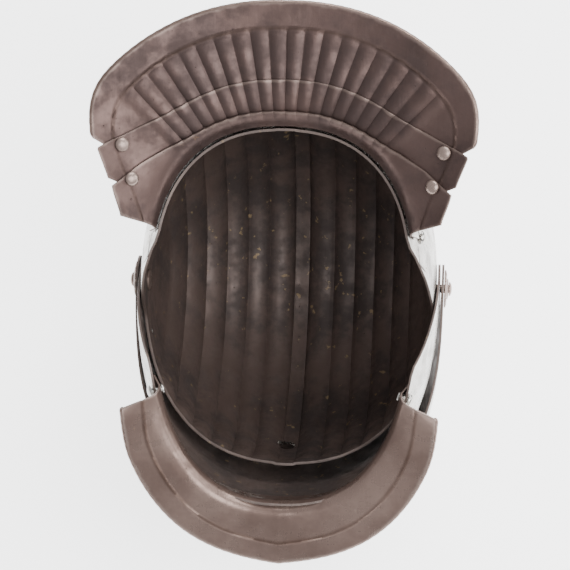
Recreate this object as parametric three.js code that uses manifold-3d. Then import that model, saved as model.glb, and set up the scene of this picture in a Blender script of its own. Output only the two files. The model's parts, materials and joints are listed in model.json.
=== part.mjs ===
// Close helmet of fluted steel plates, laid on its comb with the bevor and visor swung open.
// Helmet frame: origin midway between the two pivots, +X to the wearer's right, +Y forward, +Z up.
// A direction is in degrees in the plane of symmetry: 0 is forward, 90 up, 180 back.
// A bearing is in degrees about the upright neck axis: 0 is the nape, 90 the right, 180 the front.
import * as THREE from 'three';
import { mergeVertices } from 'three/addons/utils/BufferGeometryUtils.js';
import Module from 'manifold-3d';

const wasm = await Module();
wasm.setup();

// Driving dimensions, in millimetres and degrees
const LAME_GAP = 1.1;
const SHELL_GAP = 0.9;
const GORGET_GAP = 1.9;
const SKULL_HALF_WIDTH = 103;
const SKULL_THICKNESS = 1.8;
const PLATE_THICKNESS = 1.6;
const LAME_THICKNESS = 1.4;
const SKULL_SQUARENESS = 2.3;
const VISOR_SQUARENESS = 2.9;

const COMB_TOP_HALF_WIDTH = 6;
const COMB_FOOT_HALF_WIDTH = 8.5;
const FLUTE_COUNT = 6;
const FLUTE_DEPTH = 2.6;
const FLUTE_PITCH = 7.6;
const FLUTE_WIDENING = 0.45;

const PIN_DIAMETER = 6;
const PIN_HOLE_DIAMETER = 6.8;
const EAR_RADIUS = 17;
const ROSETTE_DIAMETER = 27;
const ROSETTE_HEIGHT = 2.8;
const PIN_HEAD_DIAMETER = 10;
const PIN_HEAD_HEIGHT = 2.2;
const PIN_WASHER_DIAMETER = 14;
const PIN_WASHER_THICKNESS = 1.5;

const NECK_CENTRE_Y = -7;
const LAME_OVERLAP = 11;
const LAME_SEAT_SHARE = 0.18;
const LAME_COLUMNS = 22;
const LAME_ROWS = 5;
const GORGET_END = 100;
const SEAT_GAP = 0.3;
const RIVET_PLAY = 1.3;
const RIVET_DOME_DIAMETER = 9.5;
const RIVET_DOME_HEIGHT = 2.6;
const RIVET_FOOT_DIAMETER = 7;
const RIVET_FOOT_HEIGHT = 1.2;
const RIVET_SHANK_DIAMETER = 4.2;
const RIVET_HOLE_DIAMETER = 5;
const ROUND_SIDES = 12;
const CUTTER_REACH = 400;
const SKULL_ROWS = { first: 6, last: 266, step: 10, wideStep: 34 };
const BEVOR_ROWS = { first: -106, last: -16, step: 6, wideStep: 24 };
const VISOR_WIDE_STEP = 55;
const BEVOR_ANGLES = [4, 12, 20, 28, 36, 44, 53, 62, 72, 83];
const VISOR_ANGLES = [7, 16, 26, 36, 47, 58, 70, 82];

// How far the bevor is swung up from its closed place, with the visor seated on it
const OPENING_ANGLE = 50;
// Where the comb touches what the helmet lies on
const COMB_REST_DIRECTION = 86;
// The visor's nose is flat across up to this angle from the plane of symmetry
const VISOR_NOSE_ANGLE = 7;

const BREATH_SLOT_WIDTH = 4.8;
const BREATH_SLOTS = [
  { x: 20, top: -20, bottom: -43 },
  { x: 34, top: -20, bottom: -43 },
  { x: 48, top: -21, bottom: -41 },
];
const SIGHT = { inner: 9, outer: 66, level: 15.5, height: 5 };
const STUD = { direction: 256, angle: 61 };
const NECK_RIVETS = [
  { name: 'neck_rivet_upper', bearing: 70, place: 0.72, layer: 0 },
  { name: 'neck_rivet_lower', bearing: 61.5, place: 0.77, layer: 1 },
];
const GORGET_RIVET = { bearing: 104, place: 0.08 };

// Outer reach of each plate's form from the pivot axis, in the plane of symmetry
const SKULL_FORM = [
  { direction: -90, reach: 155 },
  { direction: -40, reach: 140 },
  { direction: 5, reach: 127 },
  { direction: 40, reach: 127 },
  { direction: 70, reach: 127.5 },
  { direction: 90, reach: 129 },
  { direction: 110, reach: 130 },
  { direction: 135, reach: 131 },
  { direction: 160, reach: 131 },
  { direction: 180, reach: 128 },
  { direction: 200, reach: 127 },
  { direction: 215, reach: 127 },
  { direction: 225, reach: 131.5 },
  { direction: 234, reach: 142 },
  { direction: 250, reach: 152 },
  { direction: 270, reach: 155 },
];
const COMB_FORM = [
  { direction: -90, height: 0 },
  { direction: 5, height: 0.8 },
  { direction: 40, height: 2.4 },
  { direction: 70, height: 3.6 },
  { direction: 95, height: 4.8 },
  { direction: 130, height: 4.8 },
  { direction: 165, height: 3.6 },
  { direction: 200, height: 1.8 },
  { direction: 234, height: 0.4 },
  { direction: 270, height: 0 },
];
const BEVOR_FORM = [
  { direction: -180, reach: 150 },
  { direction: -100, reach: 158 },
  { direction: -90, reach: 158 },
  { direction: -75, reach: 161 },
  { direction: -64, reach: 162 },
  { direction: -57, reach: 160 },
  { direction: -50, reach: 151 },
  { direction: -42, reach: 144 },
  { direction: -34, reach: 139.5 },
  { direction: -25, reach: 134.5 },
  { direction: -10, reach: 133 },
  { direction: 180, reach: 150 },
];
const VISOR_FORM = [
  { direction: -180, reach: 150 },
  { direction: -50, reach: 150 },
  { direction: -37, reach: 146.5 },
  { direction: -32, reach: 149 },
  { direction: -27, reach: 156 },
  { direction: -22, reach: 166 },
  { direction: -18, reach: 172 },
  { direction: -15, reach: 169 },
  { direction: -9, reach: 157 },
  { direction: -3, reach: 147 },
  { direction: 1, reach: 143 },
  { direction: 4, reach: 143.5 },
  { direction: 8, reach: 139.5 },
  { direction: 15.3, reach: 138.5 },
  { direction: 22, reach: 138.5 },
  { direction: 180, reach: 150 },
];
// Share of the flare and of the drop that a lame's profile has reached at each place past its seat
const NECK_PROFILE = [
  { place: 0, flare: 0, drop: 0 },
  { place: 0.19, flare: 0.07, drop: 0.27 },
  { place: 0.35, flare: 0.21, drop: 0.44 },
  { place: 0.49, flare: 0.36, drop: 0.56 },
  { place: 0.74, flare: 0.66, drop: 0.76 },
  { place: 1, flare: 1, drop: 1 },
];
// Outline of the neck guard and the gorget lame about the neck axis, and how high the rim lies
const NECK_RIM = [
  { bearing: 0, radius: 150, height: -156 },
  { bearing: 30, radius: 152, height: -156 },
  { bearing: 45, radius: 152, height: -155 },
  { bearing: 54, radius: 150, height: -152 },
  { bearing: 62, radius: 139, height: -147 },
  { bearing: 70, radius: 122, height: -140 },
  { bearing: 76, radius: 113, height: -134 },
  { bearing: 86, radius: 104, height: -128 },
  { bearing: 100, radius: 107, height: -122 },
  { bearing: 120, radius: 115, height: -132 },
  { bearing: 150, radius: 124, height: -148 },
  { bearing: 180, radius: 127, height: -155 },
];
// Ends and edges of the three neck lames: a lower edge meets the rim at its closing bearing
const NECK_LAMES = [
  { name: 'neck_lame_upper', end: 84, closing: 75, topEdge: 0, lowerEdge: 0.37, edgePower: 6, layer: 0 },
  { name: 'neck_lame_middle', end: 73, closing: 66, topEdge: 0.26, lowerEdge: 0.58, edgePower: 7, layer: 1 },
  { name: 'neck_lame_lower', end: 64, closing: 64, topEdge: 0.47, lowerEdge: 1, edgePower: 1, layer: 2 },
];

const toRadians = THREE.MathUtils.degToRad;
const toDegrees = THREE.MathUtils.radToDeg;

// Value of a table's column at a place between its rows, on a smooth curve through them
function valueAt(table, key, column, place) {
  const last = table.length - 1;
  let row = table.findIndex((entry) => entry[key] > place) - 1;
  if (row < 0) row = place < table[0][key] ? 0 : last - 1;
  const slope = (a, b) => (table[b][column] - table[a][column]) / (table[b][key] - table[a][key]);
  const tangent = (at) => (at === 0 ? slope(0, 1) : at === last ? slope(last - 1, last)
    : slope(at - 1, at) * slope(at, at + 1) <= 0 ? 0 : slope(at - 1, at + 1));
  const span = table[row + 1][key] - table[row][key];
  const u = THREE.MathUtils.clamp((place - table[row][key]) / span, 0, 1);
  const start = (2 * u ** 3 - 3 * u ** 2 + 1) * table[row][column];
  const end = (3 * u ** 2 - 2 * u ** 3) * table[row + 1][column];
  const bend = (u ** 3 - 2 * u ** 2 + u) * tangent(row) + (u ** 3 - u ** 2) * tangent(row + 1);
  return start + end + bend * span;
}

const skullForm = { table: SKULL_FORM, halfWidth: SKULL_HALF_WIDTH, squareness: SKULL_SQUARENESS };
const bevorForm = {
  table: BEVOR_FORM,
  halfWidth: SKULL_HALF_WIDTH + SHELL_GAP + PLATE_THICKNESS,
  squareness: SKULL_SQUARENESS,
};
const visorForm = {
  table: VISOR_FORM,
  halfWidth: bevorForm.halfWidth + SHELL_GAP + PLATE_THICKNESS,
  squareness: VISOR_SQUARENESS,
  noseAngle: VISOR_NOSE_ANGLE,
};

// Point of a form at a direction and at an angle from the plane of symmetry, raised by lift
function formPoint(form, direction, angle, lift) {
  const power = 2 / form.squareness;
  const reach = valueAt(form.table, 'direction', 'reach', direction);
  const sine = Math.abs(Math.sin(toRadians(angle)));
  const cosine = Math.cos(toRadians(Math.max(Math.abs(angle), form.noseAngle ?? 0)));
  const side = Math.sign(angle);
  const normal = new THREE.Vector2(
    sine ** (2 - power) / form.halfWidth,
    cosine ** (2 - power) / reach,
  ).normalize();
  const across = side * (form.halfWidth * sine ** power + lift * normal.x);
  const out = reach * cosine ** power + lift * normal.y;
  const turn = toRadians(direction);
  return new THREE.Vector3(across, out * Math.cos(turn), out * Math.sin(turn));
}

// Angle from the plane of symmetry at which a form is a given distance from it
const angleAcross = (form, x) => toDegrees(Math.asin((x / form.halfWidth) ** (form.squareness / 2)));

// Closed solid of a form, from rows of directions and columns of angle and lift on the right half
function formSolid(form, directions, columnsAt) {
  const positions = [];
  const rows = directions.map((direction) => {
    const half = columnsAt(direction);
    const columns = [...half.map(({ angle, lift }) => ({ angle: -angle, lift })).reverse(), ...half];
    return columns.map(({ angle, lift }) => {
      positions.push(...formPoint(form, direction, angle, lift));
      return positions.length / 3 - 1;
    });
  });
  positions.push(-form.halfWidth, 0, 0, form.halfWidth, 0, 0);
  const leftPole = positions.length / 3 - 2;
  const rightPole = leftPole + 1;
  const triangles = [];
  rows.forEach((row, i) => {
    const next = rows[(i + 1) % rows.length];
    triangles.push(leftPole, next[0], row[0]);
    for (let j = 0; j + 1 < row.length; j += 1) {
      triangles.push(row[j], next[j], next[j + 1], row[j], next[j + 1], row[j + 1]);
    }
    triangles.push(row[row.length - 1], next[row.length - 1], rightPole);
  });
  return solidOf(positions, triangles);
}

// Closed wall between two offsets of a surface, over a grid of u and v
function sheetSolid(surface, uValues, vCount, inner, outer) {
  const positions = [];
  const step = 0.001;
  const layerOf = (offset) => uValues.map((u) => Array.from({ length: vCount + 1 }, (_, j) => {
    const v = j / vCount;
    const point = surface(u, v);
    const alongU = surface(u + step, v).sub(surface(u - step, v));
    const alongV = surface(u, v + step).sub(surface(u, v - step));
    const normal = alongV.cross(alongU).normalize();
    positions.push(...point.addScaledVector(normal, offset));
    return positions.length / 3 - 1;
  }));
  const outerFace = layerOf(outer);
  const innerFace = layerOf(inner);
  const triangles = [];
  const quad = (a, b, c, d) => triangles.push(a, b, c, a, c, d);
  for (let i = 0; i + 1 < uValues.length; i += 1) {
    for (let j = 0; j < vCount; j += 1) {
      quad(outerFace[i][j], outerFace[i][j + 1], outerFace[i + 1][j + 1], outerFace[i + 1][j]);
      quad(innerFace[i][j], innerFace[i + 1][j], innerFace[i + 1][j + 1], innerFace[i][j + 1]);
    }
    quad(outerFace[i][0], outerFace[i + 1][0], innerFace[i + 1][0], innerFace[i][0]);
    quad(outerFace[i + 1][vCount], outerFace[i][vCount], innerFace[i][vCount], innerFace[i + 1][vCount]);
  }
  const lastU = uValues.length - 1;
  for (let j = 0; j < vCount; j += 1) {
    quad(outerFace[0][j + 1], outerFace[0][j], innerFace[0][j], innerFace[0][j + 1]);
    quad(outerFace[lastU][j], outerFace[lastU][j + 1], innerFace[lastU][j + 1], innerFace[lastU][j]);
  }
  return solidOf(positions, triangles);
}

function solidOf(positions, triangles) {
  return new wasm.Manifold(new wasm.Mesh({
    numProp: 3,
    vertProperties: Float32Array.from(positions),
    triVerts: Uint32Array.from(triangles),
  }));
}

// Solid of a closed three.js geometry, moved by a matrix
function solidFrom(geometry, matrix = new THREE.Matrix4()) {
  const bare = geometry.clone().applyMatrix4(matrix);
  bare.deleteAttribute('normal');
  bare.deleteAttribute('uv');
  const merged = mergeVertices(bare);
  return solidOf(merged.attributes.position.array, merged.index.array);
}

function geometryOf(solid) {
  const mesh = solid.getMesh();
  const geometry = new THREE.BufferGeometry();
  geometry.setAttribute('position', new THREE.BufferAttribute(mesh.vertProperties, 3));
  geometry.setIndex(new THREE.BufferAttribute(mesh.triVerts, 1));
  geometry.computeVertexNormals();
  return geometry;
}

// Prism across the whole helmet over an outline drawn in the side view
function sidePrism(shape) {
  const geometry = new THREE.ExtrudeGeometry(shape, {
    depth: CUTTER_REACH,
    bevelEnabled: false,
    curveSegments: 10,
  });
  geometry.translate(0, 0, -CUTTER_REACH / 2);
  const toSideView = new THREE.Matrix4().makeBasis(
    new THREE.Vector3(0, 1, 0),
    new THREE.Vector3(0, 0, 1),
    new THREE.Vector3(1, 0, 0),
  );
  return solidFrom(geometry, toSideView);
}

// Matrix that turns a shape made along +Y to lie along an axis through a point
function alongAxis(axis, point) {
  const turn = new THREE.Quaternion().setFromUnitVectors(new THREE.Vector3(0, 1, 0), axis);
  return new THREE.Matrix4().compose(point, turn, new THREE.Vector3(1, 1, 1));
}

function drill(diameter, length, axis, point) {
  const geometry = new THREE.CylinderGeometry(diameter / 2, diameter / 2, length, ROUND_SIDES);
  return solidFrom(geometry, alongAxis(axis, point));
}

function steel(colour, roughness) {
  return new THREE.MeshStandardMaterial({ color: colour, roughness, metalness: 0.9 });
}

const BRIGHT_STEEL = { colour: 0xb9b5b0, roughness: 0.38 };
const BROWNED_STEEL = { colour: 0x6e625c, roughness: 0.55 };

function plate(name, geometry, finish) {
  const mesh = new THREE.Mesh(geometry, steel(finish.colour, finish.roughness));
  mesh.name = name;
  return mesh;
}

// Rows of directions, close together over a plate and wide apart behind it
function rowsOver({ first, last, step, wideStep }) {
  const close = [];
  for (let at = first; at < last + step / 2; at += step) close.push(at);
  return rowsFrom(close, wideStep);
}

// Rows over a plate, carried on round the pivot axis in wide steps
function rowsFrom(close, wideStep) {
  const wide = [];
  const last = close[close.length - 1];
  for (let at = last + wideStep; at < close[0] + 360 - wideStep / 2; at += wideStep) wide.push(at);
  return [...close, ...wide];
}

// Columns from the plane of symmetry out over the comb, the flutes and the plain side to the pivot
function skullColumns(direction) {
  const at = ((direction + 90) % 360 + 360) % 360 - 90;
  const comb = valueAt(COMB_FORM, 'direction', 'height', at);
  const gather = 1 - 0.07 * THREE.MathUtils.smoothstep(60 - at, 0, 60)
    - 0.22 * THREE.MathUtils.smoothstep(at, 150, 234);
  const depth = FLUTE_DEPTH * THREE.MathUtils.smoothstep(at, 6, 14)
    * (1 - THREE.MathUtils.smoothstep(at, 222, 232));
  const foot = angleAcross(skullForm, COMB_FOOT_HALF_WIDTH);
  const columns = [
    { angle: angleAcross(skullForm, COMB_TOP_HALF_WIDTH), lift: comb },
    { angle: foot, lift: 0 },
  ];
  const ridge = (count) => foot + (FLUTE_PITCH * count + FLUTE_WIDENING * count ** 2) * gather;
  for (let count = 1; count <= FLUTE_COUNT; count += 1) {
    columns.push({ angle: (ridge(count - 1) + ridge(count)) / 2, lift: -depth });
    columns.push({ angle: ridge(count), lift: 0 });
  }
  const side = ridge(FLUTE_COUNT);
  for (const share of [0.35, 0.65, 0.88]) columns.push({ angle: side + (90 - side) * share, lift: 0 });
  return columns;
}

// The same form with its wall thickness taken off
function innerForm(form, thickness) {
  return {
    ...form,
    table: form.table.map((row) => ({ ...row, reach: row.reach - thickness })),
    halfWidth: form.halfWidth - thickness,
  };
}

const plainColumns = (angles) => () => angles.map((angle) => ({ angle, lift: 0 }));

const ACROSS = new THREE.Vector3(1, 0, 0);

const pivotDrill = () => drill(PIN_HOLE_DIAMETER, CUTTER_REACH, ACROSS, new THREE.Vector3());

const directionVector = (direction) => new THREE.Vector3(
  0,
  Math.cos(toRadians(direction)),
  Math.sin(toRadians(direction)),
);
const onward = (from, to, share) => ({
  y: from.y + (to.y - from.y) * share,
  z: from.z + (to.z - from.z) * share,
});

// Side outlines: the corners of each plate beyond the round ear at its pivot
const SKULL_OUTLINE = {
  neckCorner: { y: -10, z: -100 },
  nape: { y: -84, z: -116 },
  cheek: { y: 24, z: -8 },
  brow: { y: 127, z: 15 },
};
const BEVOR_OUTLINE = {
  rearTop: { y: -14, z: -56 },
  rearBottom: { y: -8, z: -96 },
  frontBottom: { y: 90, z: -136 },
  frontTop: { y: 125, z: -52 },
};
const VISOR_OUTLINE = {
  bottom: { y: 113, z: -86 },
  top: { y: 133.6, z: 36.55 },
};

function skullOutline() {
  const { neckCorner, nape, cheek, brow } = SKULL_OUTLINE;
  const behind = onward(neckCorner, nape, 3);
  const shape = new THREE.Shape();
  shape.moveTo(neckCorner.y, neckCorner.z);
  shape.quadraticCurveTo(cheek.y - 8, (cheek.z + neckCorner.z) / 2, cheek.y, cheek.z);
  shape.quadraticCurveTo(cheek.y + 6, cheek.z + 10, cheek.y + 36, cheek.z + 14);
  shape.lineTo(brow.y, brow.z);
  shape.lineTo(CUTTER_REACH / 2, brow.z);
  shape.lineTo(CUTTER_REACH / 2, CUTTER_REACH / 2);
  shape.lineTo(behind.y, CUTTER_REACH / 2);
  shape.lineTo(behind.y, behind.z);
  return shape;
}

function earOutline(fromDirection, toDirection, corners) {
  const shape = new THREE.Shape();
  shape.absarc(0, 0, EAR_RADIUS, toRadians(fromDirection), toRadians(toDirection), false);
  corners.forEach(({ y, z }) => shape.lineTo(y, z));
  return shape;
}

const earPoint = (direction) => ({
  y: EAR_RADIUS * Math.cos(toRadians(direction)),
  z: EAR_RADIUS * Math.sin(toRadians(direction)),
});

function bevorOutline() {
  const { rearTop, rearBottom, frontBottom, frontTop } = BEVOR_OUTLINE;
  const beyond = { y: CUTTER_REACH / 2, z: frontTop.z };
  return earOutline(60, 200, [rearTop, rearBottom, onward(rearBottom, frontBottom, 2), beyond, frontTop]);
}

function visorOutline() {
  const bottom = onward(earPoint(240), VISOR_OUTLINE.bottom, 1.6);
  const top = onward(earPoint(100), VISOR_OUTLINE.top, 1.6);
  return earOutline(100, 240, [bottom, top]);
}

// Shell of a form between its outer face and its wall thickness, trimmed to a side outline
function shellPlate(form, thickness, rows, columnsAt, outline) {
  const outer = formSolid(form, rows, columnsAt);
  const inner = formSolid(innerForm(form, thickness), rows, columnsAt);
  return outer.subtract(inner).intersect(sidePrism(outline)).subtract(pivotDrill());
}

function buildSkull() {
  const browHole = drill(7, 60, directionVector(30), directionVector(30).multiplyScalar(125));
  const templeHole = drill(3.4, 30, ACROSS, new THREE.Vector3(-100, 34, 16));
  return shellPlate(skullForm, SKULL_THICKNESS, rowsOver(SKULL_ROWS), skullColumns, skullOutline())
    .subtract(browHole)
    .subtract(templeHole)
    .subtract(rivetDrill(studRivet));
}

function buildBevor() {
  const rows = rowsOver(BEVOR_ROWS);
  const plain = shellPlate(bevorForm, PLATE_THICKNESS, rows, plainColumns(BEVOR_ANGLES), bevorOutline());
  return drilled(plain, gorgetRivets);
}

// Breath slots stand upright over the prow and the two sights lie level above it
function visorOpenings() {
  const slots = BREATH_SLOTS.flatMap(({ x, top, bottom }) => [-x, x].map((across) => {
    const geometry = new THREE.BoxGeometry(BREATH_SLOT_WIDTH, 120, top - bottom);
    return solidFrom(geometry, new THREE.Matrix4().makeTranslation(across, 140, (top + bottom) / 2));
  }));
  const sights = [-1, 1].map((side) => {
    const geometry = new THREE.BoxGeometry(SIGHT.outer - SIGHT.inner, 140, SIGHT.height);
    const across = side * (SIGHT.outer + SIGHT.inner) / 2;
    return solidFrom(geometry, new THREE.Matrix4().makeTranslation(across, 140, SIGHT.level));
  });
  return [...slots, ...sights];
}

function buildVisor() {
  const rows = rowsFrom(VISOR_FORM.slice(1, -1).map((row) => row.direction), VISOR_WIDE_STEP);
  const plain = shellPlate(visorForm, PLATE_THICKNESS, rows, plainColumns(VISOR_ANGLES), visorOutline());
  return visorOpenings().reduce((solid, cutter) => solid.subtract(cutter), plain);
}

// Distance from the neck axis to a form at a bearing and a height
function radiusOnForm(form, bearing, height) {
  const turn = toRadians(bearing);
  let near = 20;
  let far = 200;
  for (let pass = 0; pass < 30; pass += 1) {
    const radius = (near + far) / 2;
    const x = radius * Math.sin(turn);
    const y = NECK_CENTRE_Y - radius * Math.cos(turn);
    const reach = valueAt(form.table, 'direction', 'reach', directionOn(form, y, height));
    const share = (Math.abs(x) / form.halfWidth) ** form.squareness
      + (Math.hypot(y, height) / reach) ** form.squareness;
    if (share > 1) far = radius;
    else near = radius;
  }
  return near;
}

// Direction of a point in the range that the form's table covers
function directionOn(form, y, z) {
  const direction = toDegrees(Math.atan2(z, y));
  return direction < form.table[0].direction ? direction + 360 : direction;
}

// Height of the skull's neck edge, or of the bevor's lower edge, at a distance y from the pivots
const edgeHeight = ([start, end], y) => start.z + (end.z - start.z) * (y - start.y) / (end.y - start.y);

// Flared surface that hangs from a plate's edge: its seat follows the plate's face past the edge
function neckSurface({ form, edge, below }) {
  return (bearing, place) => {
    const folded = Math.abs(bearing > 180 ? bearing - 360 : bearing);
    const turn = toRadians(bearing);
    let edgeZ = -110;
    for (let pass = 0; pass < 4; pass += 1) {
      edgeZ = edgeHeight(edge, NECK_CENTRE_Y - radiusOnForm(form, bearing, edgeZ) * Math.cos(turn));
    }
    const rimRadius = valueAt(NECK_RIM, 'bearing', 'radius', folded);
    const rimZ = valueAt(NECK_RIM, 'bearing', 'height', folded);
    const foot = edgeZ - below;
    const past = Math.max(0, (place - LAME_SEAT_SHARE) / (1 - LAME_SEAT_SHARE));
    const seated = Math.min(place / LAME_SEAT_SHARE, 1);
    const z = edgeZ + LAME_OVERLAP * (1 - seated) - below * seated
      + (rimZ - foot) * valueAt(NECK_PROFILE, 'place', 'drop', past);
    const along = radiusOnForm(form, bearing, Math.max(z, edgeZ));
    const radius = along + (rimRadius - along) * valueAt(NECK_PROFILE, 'place', 'flare', past);
    return new THREE.Vector3(radius * Math.sin(turn), NECK_CENTRE_Y - radius * Math.cos(turn), z);
  };
}

const lameSurface = neckSurface({
  form: innerForm(skullForm, -LAME_GAP),
  edge: [SKULL_OUTLINE.neckCorner, SKULL_OUTLINE.nape],
  below: 0,
});
const gorgetSurface = neckSurface({
  form: innerForm(bevorForm, PLATE_THICKNESS + GORGET_GAP),
  edge: [BEVOR_OUTLINE.rearBottom, BEVOR_OUTLINE.frontBottom],
  below: 4,
});

const evenSteps = (first, last, count) => Array.from(
  { length: count + 1 },
  (_, step) => first + (last - first) * step / count,
);

const drilled = (solid, rivets) => rivets.reduce((rest, rivet) => rest.subtract(rivetDrill(rivet)), solid);

function buildLame({ end, closing, topEdge, lowerEdge, edgePower, layer }) {
  const inner = layer * (LAME_THICKNESS + LAME_GAP);
  const surface = (bearing, share) => {
    const closed = Math.min(Math.abs(bearing) / closing, 1) ** edgePower;
    const foot = lowerEdge + (1 - lowerEdge) * closed;
    return lameSurface(bearing, topEdge + (foot - topEdge) * share);
  };
  const bearings = evenSteps(-end, end, LAME_COLUMNS);
  const sheet = sheetSolid(surface, bearings, LAME_ROWS, inner, inner + LAME_THICKNESS);
  return drilled(sheet, neckRivets.filter((rivet) => rivet.layer === layer || rivet.layer === layer - 1));
}

function buildGorget() {
  const bearings = evenSteps(GORGET_END, 360 - GORGET_END, LAME_COLUMNS);
  const sheet = sheetSolid(gorgetSurface, bearings, LAME_ROWS + 2, -LAME_THICKNESS, 0);
  return drilled(sheet, gorgetRivets);
}

function normalAt(surface, u, v) {
  const step = 0.001;
  const alongU = surface(u + step, v).sub(surface(u - step, v));
  const alongV = surface(u, v + step).sub(surface(u, v - step));
  return alongV.cross(alongU).normalize();
}

// Where a rivet goes through: a point on a surface, the surface's normal and the faces it grips
function rivetThrough({ surface, u, v, innerFace, outerFace, domeInside }) {
  return {
    point: surface(u, v),
    normal: normalAt(surface, u, v),
    innerFace: innerFace - RIVET_PLAY,
    outerFace: outerFace + RIVET_PLAY,
    domeInside,
  };
}

const rivetDrill = ({ point, normal }) => drill(RIVET_HOLE_DIAMETER, 16, normal, point);

// Half circle of a dome's profile from its rim up to the axis
const domeProfile = (radius, height, base) => [0, 40, 90].map((angle) => new THREE.Vector2(
  angle === 90 ? 0 : radius * Math.cos(toRadians(angle)),
  base + height * Math.sin(toRadians(angle)),
));

function headedPin({ footRadius, footHeight, shankRadius, from, to, headRadius, headHeight }) {
  return new THREE.LatheGeometry([
    new THREE.Vector2(0, from - footHeight),
    new THREE.Vector2(footRadius, from - footHeight),
    new THREE.Vector2(footRadius, from),
    new THREE.Vector2(shankRadius, from),
    new THREE.Vector2(shankRadius, to),
    ...domeProfile(headRadius, headHeight, to),
  ], ROUND_SIDES);
}

function placeAlong(mesh, axis, point) {
  alongAxis(axis, point).decompose(mesh.position, mesh.quaternion, mesh.scale);
  return mesh;
}

function buildRivet(name, rivet) {
  const axis = rivet.domeInside ? rivet.normal.clone().negate() : rivet.normal;
  const geometry = headedPin({
    footRadius: RIVET_FOOT_DIAMETER / 2,
    footHeight: RIVET_FOOT_HEIGHT,
    shankRadius: RIVET_SHANK_DIAMETER / 2,
    from: rivet.domeInside ? -rivet.outerFace : rivet.innerFace,
    to: rivet.domeInside ? -rivet.innerFace : rivet.outerFace,
    headRadius: RIVET_DOME_DIAMETER / 2,
    headHeight: RIVET_DOME_HEIGHT,
  });
  return placeAlong(plate(name, geometry, BRIGHT_STEEL), axis, rivet.point);
}

// Stepped dome of a rosette about the pivot pin
function buildRosette(name, side) {
  const base = visorForm.halfWidth + SEAT_GAP;
  const rim = ROSETTE_DIAMETER / 2;
  const bore = PIN_HOLE_DIAMETER / 2;
  const steps = [[rim, 0], [rim, 0.35], [rim * 0.78, 0.62], [rim * 0.6, 0.7], [rim * 0.45, 1]];
  const profile = [[bore, 0], ...steps, [bore, 1], [bore, 0]]
    .map(([radius, share]) => new THREE.Vector2(radius, base + share * ROSETTE_HEIGHT));
  const mesh = plate(name, new THREE.LatheGeometry(profile, ROUND_SIDES), BRIGHT_STEEL);
  return placeAlong(mesh, ACROSS.clone().multiplyScalar(side), new THREE.Vector3());
}

function buildPin(name, side) {
  const geometry = headedPin({
    footRadius: PIN_WASHER_DIAMETER / 2,
    footHeight: PIN_WASHER_THICKNESS,
    shankRadius: PIN_DIAMETER / 2,
    from: SKULL_HALF_WIDTH - SKULL_THICKNESS - SEAT_GAP,
    to: visorForm.halfWidth + ROSETTE_HEIGHT + 2 * SEAT_GAP,
    headRadius: PIN_HEAD_DIAMETER / 2,
    headHeight: PIN_HEAD_HEIGHT,
  });
  const mesh = plate(name, geometry, BRIGHT_STEEL);
  return placeAlong(mesh, ACROSS.clone().multiplyScalar(side), new THREE.Vector3());
}

// Neck rivets on both sides, from the upper lame outwards, and the gorget lame's two rivets
const neckRivets = NECK_RIVETS.flatMap(({ name, bearing, place, layer }) => [-1, 1].map((side) => {
  const innerFace = layer * (LAME_THICKNESS + LAME_GAP);
  const outerFace = innerFace + 2 * LAME_THICKNESS + LAME_GAP;
  const rivet = rivetThrough({
    surface: lameSurface, u: side * bearing, v: place, innerFace, outerFace, domeInside: true,
  });
  return { ...rivet, layer, name: `${name}_${side < 0 ? 'left' : 'right'}` };
}));
const gorgetRivets = [-1, 1].map((side) => ({
  ...rivetThrough({
    surface: gorgetSurface,
    u: side < 0 ? 360 - GORGET_RIVET.bearing : GORGET_RIVET.bearing,
    v: GORGET_RIVET.place,
    innerFace: -LAME_THICKNESS,
    outerFace: GORGET_GAP + PLATE_THICKNESS,
    domeInside: false,
  }),
  name: `gorget_rivet_${side < 0 ? 'left' : 'right'}`,
}));
const studSurface = (angle, direction) => formPoint(skullForm, direction, angle, 0);
const studRivet = rivetThrough({
  surface: studSurface,
  u: STUD.angle,
  v: STUD.direction,
  innerFace: -SKULL_THICKNESS,
  outerFace: 0,
  domeInside: false,
});

// Direction, on the skull, square to the line from the comb to the open visor's upper edge
function restDirection() {
  const topDirection = toDegrees(Math.atan2(VISOR_OUTLINE.top.z, VISOR_OUTLINE.top.y));
  const edge = formPoint(visorForm, topDirection, VISOR_NOSE_ANGLE, 0)
    .applyAxisAngle(ACROSS, toRadians(OPENING_ANGLE));
  const { angle, lift } = skullColumns(COMB_REST_DIRECTION)[0];
  const comb = formPoint(skullForm, COMB_REST_DIRECTION, angle, lift);
  return toDegrees(Math.atan2(edge.y - comb.y, comb.z - edge.z));
}

function buildHelmet() {
  const helmet = new THREE.Group();
  helmet.add(plate('skull', geometryOf(buildSkull()), BRIGHT_STEEL));
  NECK_LAMES.forEach((lame) => helmet.add(plate(lame.name, geometryOf(buildLame(lame)), BROWNED_STEEL)));
  neckRivets.forEach((rivet) => helmet.add(buildRivet(rivet.name, rivet)));
  helmet.add(buildRivet('latch_stud', studRivet));
  for (const [side, sideName] of [[-1, 'left'], [1, 'right']]) {
    helmet.add(buildRosette(`pivot_rosette_${sideName}`, side));
    helmet.add(buildPin(`pivot_pin_${sideName}`, side));
  }

  const face = new THREE.Group();
  face.add(plate('bevor', geometryOf(buildBevor()), BRIGHT_STEEL));
  face.add(plate('gorget_lame', geometryOf(buildGorget()), BROWNED_STEEL));
  face.add(plate('visor', geometryOf(buildVisor()), BRIGHT_STEEL));
  gorgetRivets.forEach((rivet) => face.add(buildRivet(rivet.name, rivet)));
  face.rotation.x = toRadians(OPENING_ANGLE);
  helmet.add(face);

  // Turned over onto the comb and the visor's upper edge, and set down centred over the origin
  helmet.rotation.x = toRadians(270 - restDirection());
  const box = new THREE.Box3().setFromObject(helmet, true);
  helmet.position.set(0, -(box.min.y + box.max.y) / 2, -box.min.z);
  return helmet;
}

export default buildHelmet();
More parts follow.
